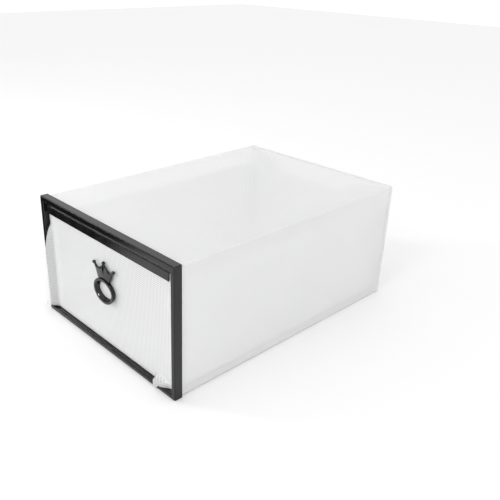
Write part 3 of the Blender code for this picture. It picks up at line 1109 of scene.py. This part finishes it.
@dataclass
class CrownRingPull:
    """Oval ring with a crown on top: one glossy moulding."""

    ring_half_width: float = 0.0173
    ring_half_height: float = 0.0138
    ring_rim: float = 0.0030
    ring_depth: float = 0.0045
    hole_taper: float = 0.0024
    outer_taper: float = 0.0012
    squareness: float = 0.26
    ring_z: float = 0.0695
    sides: int = 120
    section_steps: int = 40
    crown_thick: float = 0.0020
    crown_rounding: float = 0.00032
    tip_radius: float = 0.0019
    side_tip: Point = (0.0170, 0.0962)
    middle_tip: Point = (0.0, 0.1006)
    groove: tuple[Point, ...] = ((-0.0021, 0.0970), (0.0021, 0.0970), (0.0, 0.0870))
    groove_depth: float = 0.0015
    post_radius: float = 0.0016
    head_spread: float = 1.55
    head_height: float = 0.0010
    post_across: float = 0.0055
    post_z: float = 0.0870
    low: Vector = field(default_factory=lambda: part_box("crown_ring_pull")[0])
    high: Vector = field(default_factory=lambda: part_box("crown_ring_pull")[1])

    @property
    def middle_x(self) -> float:
        """X of the pull's middle."""
        return (self.low.x + self.high.x) / 2

    @property
    def back_y(self) -> float:
        """Y of the ring's back."""
        return self.low.y + self.ring_depth

    def section(self) -> list[tuple[float, float]]:
        """Shape the ring's rounded section.

        Returns:
            The points as (offset outwards, height above the ring's back).
        """
        half = self.ring_rim / 2
        points = []
        for step in range(self.section_steps):
            angle = 2 * math.pi * step / self.section_steps
            side = math.copysign(abs(math.cos(angle)) ** self.squareness, math.cos(angle))
            rise = math.copysign(abs(math.sin(angle)) ** self.squareness, math.sin(angle))
            height = self.ring_depth * (rise + 1) / 2
            taper = self.outer_taper if side > 0 else self.hole_taper
            points.append((half * side - taper * (1 - height / self.ring_depth), height))
        return points

    def ring(self) -> bpy.types.Object:
        """Make the oval ring.

        Returns:
            The ring.
        """
        bm = bmesh.new()
        half_width = self.ring_half_width - self.ring_rim / 2
        half_height = self.ring_half_height - self.ring_rim / 2
        loops = []
        for outward, height in self.section():
            loop = []
            for step in range(self.sides):
                angle = 2 * math.pi * step / self.sides
                cosine, sine = math.cos(angle), math.sin(angle)
                normal = Vector((half_height * cosine, half_width * sine)).normalized()
                across = self.middle_x + half_width * cosine + outward * normal.x
                up = self.ring_z + half_height * sine + outward * normal.y
                loop.append(bm.verts.new((across, self.back_y - height, up)))
            loops.append(loop)
        for index, loop in enumerate(loops):
            quads_between(bm, loop, loops[(index + 1) % len(loops)], closed=True)
        bmesh.ops.recalc_face_normals(bm, faces=bm.faces)
        return piece_from("pull_crown_and_ring", bm)

    def crown_points(self) -> list[tuple[float, float, bool]]:
        """Return the right half of the crown's outline as (x, z, is a corner)."""
        return [(0.0, 0.0790, True), (0.0088, 0.0798, True), (0.0117, 0.0866, False),
                (0.0148, 0.0928, False), (0.0167, 0.0952, True), (0.0152, 0.0960, True),
                (0.0127, 0.0940, False), (0.0098, 0.0931, False), (0.0074, 0.0937, False),
                (0.0048, 0.0954, False), (0.0025, 0.0974, False), (0.0010, 0.1000, True)]

    def crown(self) -> bpy.types.Object:
        """Make the crown plate from a filled curve with rounded edges.

        Returns:
            The plate.
        """
        half = self.crown_points()
        points = half + [(-across, up, corner) for across, up, corner in reversed(half[1:])]
        curve = bpy.data.curves.new("crown", "CURVE")
        curve.dimensions = "2D"
        curve.fill_mode = "BOTH"
        curve.extrude = self.crown_thick / 2 - self.crown_rounding
        curve.bevel_depth = self.crown_rounding
        curve.offset = -self.crown_rounding
        curve.bevel_resolution = 2
        curve.resolution_u = 6
        spline = curve.splines.new("BEZIER")
        spline.bezier_points.add(len(points) - 1)
        spline.use_cyclic_u = True
        for point, (across, up, corner) in zip(spline.bezier_points, points):
            point.co = (across, up, 0)
            point.handle_left_type = "VECTOR" if corner else "AUTO"
            point.handle_right_type = "VECTOR" if corner else "AUTO"
        flat = bpy.data.objects.new("crown_curve", curve)
        bpy.context.scene.collection.objects.link(flat)
        middle = (self.middle_x, self.back_y - self.ring_depth / 2, 0)
        flat.matrix_world = Matrix.Translation(middle) @ Matrix.Rotation(math.radians(90), 4, "X")
        bm = evaluated_bmesh(flat)
        bmesh.ops.recalc_face_normals(bm, faces=bm.faces)
        bpy.data.objects.remove(flat, do_unlink=True)
        return piece_from("crown_plate", bm)

    def tips(self) -> list[bpy.types.Object]:
        """Make the crown's round tips.

        Returns:
            The three tips.
        """
        places = (self.middle_tip, self.side_tip, (-self.side_tip[0], self.side_tip[1]))
        made = []
        for number, (across, up) in enumerate(places):
            bm = bmesh.new()
            centre = Matrix.Translation((self.middle_x + across, self.back_y - self.ring_depth / 2, up))
            bmesh.ops.create_uvsphere(bm, u_segments=32, v_segments=20, radius=self.tip_radius,
                                      matrix=centre)
            made.append(piece_from(f"crown_tip_{number}", bm))
        return made

    def posts(self) -> list[bpy.types.Object]:
        """Make the two posts that reach through the panel to their staked heads.

        Returns:
            The shaft and the head of each post.
        """
        start = self.back_y - self.ring_depth / 2
        length = self.high.y - start
        parts = (("shaft", self.post_radius, 0.0, length),
                 ("head", self.post_radius * self.head_spread, length - self.head_height, length))
        made = []
        for side in (-1, 1):
            for name, radius, near, far in parts:
                bm = bmesh.new()
                centre = (self.middle_x + side * self.post_across, start + (near + far) / 2, self.post_z)
                place = Matrix.Translation(centre) @ Matrix.Rotation(math.radians(90), 4, "X")
                bmesh.ops.create_cone(bm, cap_ends=True, segments=32, radius1=radius, radius2=radius,
                                      depth=far - near, matrix=place)
                made.append(piece_from(f"post_{name}_{side}", bm))
        return made

    def groove_cutter(self) -> bpy.types.Object:
        """Make the wedge that cuts the groove below the middle tip.

        Returns:
            The wedge.
        """
        bm = bmesh.new()
        face_y = self.back_y - self.ring_depth / 2 - self.crown_thick / 2
        rows = []
        for reach in (-self.groove_depth, self.groove_depth):
            rows.append([bm.verts.new((self.middle_x + across, face_y + reach, up))
                         for across, up in self.groove])
        quads_between(bm, rows[0], rows[1], closed=True)
        bm.faces.new(rows[0])
        bm.faces.new(list(reversed(rows[1])))
        bmesh.ops.recalc_face_normals(bm, faces=bm.faces)
        return piece_from("groove_cutter", bm)

    def build(self, finish: bpy.types.Material) -> bpy.types.Object:
        """Join the shapes into one moulding.

        Args:
            finish: Its material.

        Returns:
            The pull, which stands for the CAD pull.
        """
        pull = self.ring()
        helpers = [(item, "UNION") for item in (self.crown(), *self.tips(), *self.posts())]
        helpers.append((self.groove_cutter(), "DIFFERENCE"))
        for number, (item, operation) in enumerate(helpers):
            modifier = pull.modifiers.new(f"join_{number}", "BOOLEAN")
            modifier.operation = operation
            modifier.solver = "EXACT"
            modifier.object = item
        joined = evaluated_bmesh(pull)
        for item in (pull, *(helper for helper, _ in helpers)):
            bpy.data.objects.remove(item, do_unlink=True)
        item = piece_from("pull_crown_and_ring", joined, finish, 32)
        return settle(item, Body.DRAWER, "pull_moulding", "crown_ring_pull")


# --------------------------------------------------------------------------------------------------
# Studio
# --------------------------------------------------------------------------------------------------


@dataclass(frozen=True)
class Lamp:
    """A square lamp aimed at the box, with its side in metres and its power in watts."""

    name: str
    place: tuple[float, float, float]
    size: float
    power: float
    glints_only: bool = False


@dataclass(frozen=True)
class Card:
    """A black card that only glossy surfaces see, turned about +Z, lying or standing: a painted dark
    reflection.
    """

    name: str
    place: tuple[float, float, float]
    turn: float
    width: float
    height: float
    stands: bool = False

    def matrix(self) -> Matrix:
        """Return where the card is, as a world matrix."""
        placed = Matrix.Translation(self.place) @ Matrix.Rotation(math.radians(self.turn), 4, "Z")
        return placed @ Matrix.Rotation(math.radians(90), 4, "X") if self.stands else placed


@dataclass
class Studio:
    """Pale floor, strong even light with five weak lamps, black cards that paint dark reflections, and
    the camera.
    """

    floor_size: float = 8.0
    floor_tone: float = 0.88
    floor_roughness: float = 0.9
    ambient: float = 1.04
    lamps: tuple[Lamp, ...] = (
        Lamp("left_lamp", (-1.15, -0.90, 0.40), 0.20, 6.0),
        Lamp("front_lamp", (0.05, -1.60, 0.60), 0.90, 1.5),
        Lamp("top_lamp", (0.26, -0.98, 1.02), 0.30, 1.5),
        Lamp("right_lamp", (1.35, -0.10, 0.75), 0.80, 1.6),
        Lamp("glint_lamp", (0.17, -1.00, 1.08), 0.28, 17.0, glints_only=True),
    )
    lamp_aim: tuple[float, float, float] = (0.0, -0.05, 0.07)
    cards: tuple[Card, ...] = (
        Card("lying_card", (-0.575, -0.395, 0.0006), 10.5, 0.88, 0.36),
        Card("standing_card", (-0.85, -0.62, 0.50), -52.0, 0.90, 1.00, stands=True),
    )
    card_fades: tuple[tuple[str, float], ...] = (("X", 0.90), ("Y", 0.84))
    lens: float = 45.13
    shift: Point = (0.0674, -0.0096)
    azimuth: float = 46.79
    elevation: float = 24.50
    roll: float = 1.35
    camera_place: tuple[float, float, float] = (0.4826, -0.4595, 0.3764)

    def floor(self) -> None:
        """Make the floor."""
        bm = bmesh.new()
        bmesh.ops.create_grid(bm, x_segments=1, y_segments=1, size=self.floor_size / 2)
        material, shader = new_material("studio_floor")
        shader.inputs["Base Color"].default_value = (*[self.floor_tone] * 3, 1.0)
        shader.inputs["Roughness"].default_value = self.floor_roughness
        piece_from("studio_floor", bm, material)

    def light(self) -> None:
        """Make the even surrounding light and the lamps."""
        world = bpy.data.worlds.new("studio_world")
        world.use_nodes = True
        background = world.node_tree.nodes["Background"]
        background.inputs["Color"].default_value = (1.0, 1.0, 1.0, 1.0)
        background.inputs["Strength"].default_value = self.ambient
        bpy.context.scene.world = world
        for lamp in self.lamps:
            self.hang(lamp)

    def hang(self, lamp: Lamp) -> None:
        """Hang a lamp.

        Args:
            lamp: The lamp.
        """
        data = bpy.data.lights.new(lamp.name, "AREA")
        data.size = lamp.size
        data.energy = lamp.power
        item = bpy.data.objects.new(lamp.name, data)
        item.location = lamp.place
        towards = Vector(self.lamp_aim) - Vector(lamp.place)
        item.rotation_euler = towards.to_track_quat("-Z", "Y").to_euler()
        item.visible_diffuse = not lamp.glints_only
        bpy.context.scene.collection.objects.link(item)

    def dark_material(self) -> bpy.types.Material:
        """Make the soft-edged black of the cards, a painted dark reflection that clears towards +X and
        +Y of each card.

        Returns:
            The material.
        """
        material = bpy.data.materials.new("dark_card")
        material.use_nodes = True
        tree = material.node_tree
        tree.nodes.clear()
        place = tree.nodes.new("ShaderNodeTexCoord")
        split = tree.nodes.new("ShaderNodeSeparateXYZ")
        tree.links.new(place.outputs["Generated"], split.inputs[0])
        fades = []
        for axis, dark_at in self.card_fades:
            fade = tree.nodes.new("ShaderNodeMapRange")
            fade.interpolation_type = "SMOOTHSTEP"
            fade.inputs["From Min"].default_value = 1.0
            fade.inputs["From Max"].default_value = dark_at
            tree.links.new(split.outputs[axis], fade.inputs["Value"])
            fades.append(fade.outputs["Result"])
        clear = tree.nodes.new("ShaderNodeBsdfTransparent")
        dark = tree.nodes.new("ShaderNodeEmission")
        dark.inputs["Strength"].default_value = 0.0
        mix = tree.nodes.new("ShaderNodeMixShader")
        result = tree.nodes.new("ShaderNodeOutputMaterial")
        tree.links.new(math_node(tree, "MULTIPLY", *fades), mix.inputs["Fac"])
        tree.links.new(clear.outputs[0], mix.inputs[1])
        tree.links.new(dark.outputs[0], mix.inputs[2])
        tree.links.new(mix.outputs[0], result.inputs["Surface"])
        return material

    def dark_cards(self) -> None:
        """Set up the black cards at the left front, which only darken the reflections in glossy
        surfaces.
        """
        material = self.dark_material()
        for plan in self.cards:
            bm = bmesh.new()
            bmesh.ops.create_grid(bm, x_segments=1, y_segments=1, size=0.5)
            bmesh.ops.scale(bm, vec=(plan.width, plan.height, 1.0), verts=bm.verts)
            card = piece_from(plan.name, bm, material)
            card.matrix_world = plan.matrix()
            # Painted dark reflection: the card is hidden from the camera, from diffuse light and from
            # shadows, so it only darkens what glossy surfaces reflect.
            card.visible_camera = False
            card.visible_diffuse = False
            card.visible_transmission = False
            card.visible_shadow = False

    def camera(self) -> None:
        """Place the camera."""
        angles = (self.azimuth, self.elevation, self.roll)
        azimuth, elevation, roll = (math.radians(angle) for angle in angles)
        back = Vector((math.sin(azimuth) * math.cos(elevation), -math.cos(azimuth) * math.cos(elevation),
                       math.sin(elevation)))
        turned = (-back).to_track_quat("-Z", "Y").to_matrix().to_4x4()
        data = bpy.data.cameras.new("camera")
        data.lens = self.lens
        data.shift_x, data.shift_y = self.shift
        data.clip_start = 0.01
        item = bpy.data.objects.new("camera", data)
        bpy.context.scene.collection.objects.link(item)
        item.matrix_world = (Matrix.Translation(self.camera_place) @ turned
                             @ Matrix.Rotation(roll, 4, "Z"))
        bpy.context.scene.camera = item

    def build(self) -> None:
        """Set the studio up."""
        bpy.context.scene.view_settings.view_transform = "Standard"
        self.camera()
        self.floor()
        self.light()
        self.dark_cards()


# --------------------------------------------------------------------------------------------------
# Assembly
# --------------------------------------------------------------------------------------------------


def dress(node: str, finish: bpy.types.Material, slot: str) -> None:
    """Give a carried-over CAD node its finish.

    Args:
        node: Name of the node.
        finish: The material.
        slot: Name for its material slot, which is only logged.
    """
    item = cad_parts[node]
    item.data.materials.clear()
    item.data.materials.append(finish)
    LOG.info("node %s keeps its shape, slot %s", node, slot)


def main() -> None:
    """Build the looks of the shoe box."""
    logging.basicConfig(level=logging.INFO, format="%(name)s: %(message)s")
    Studio().build()
    FrontFrame().build(BlackMoulding("frame_black_moulding", Gloss.SATIN).material())
    Sleeve().build(FrostedSheet("sleeve_frosted_sheet", cover_thin=0.48, cover_thick=0.54).material())
    tub_finish = FrostedSheet("tub_frosted_sheet", cover_thin=0.84, cover_thick=0.90,
                              pitch=DRAWER_PITCH)
    panel_finish = FrostedSheet("panel_frosted_sheet", cover_thin=0.34, cover_thick=0.49,
                                color=(0.890, 0.892, 0.894), shade=(0.878, 0.880, 0.882),
                                pitch=DRAWER_PITCH, emboss_depth=0.00001)
    Drawer().build(tub_finish.material(), panel_finish.material())
    CrownRingPull().build(BlackMoulding("pull_black_moulding", Gloss.POLISHED).material())
    dress("drawer_top_strip", BlackMoulding("strip_black_moulding", Gloss.SATIN).material(),
          "strip_moulding")
    dress("pull_backing_plate", BlackMoulding("plate_black_moulding", Gloss.MATTE).material(),
          "plate_moulding")


if __name__ == "__main__":
    main()
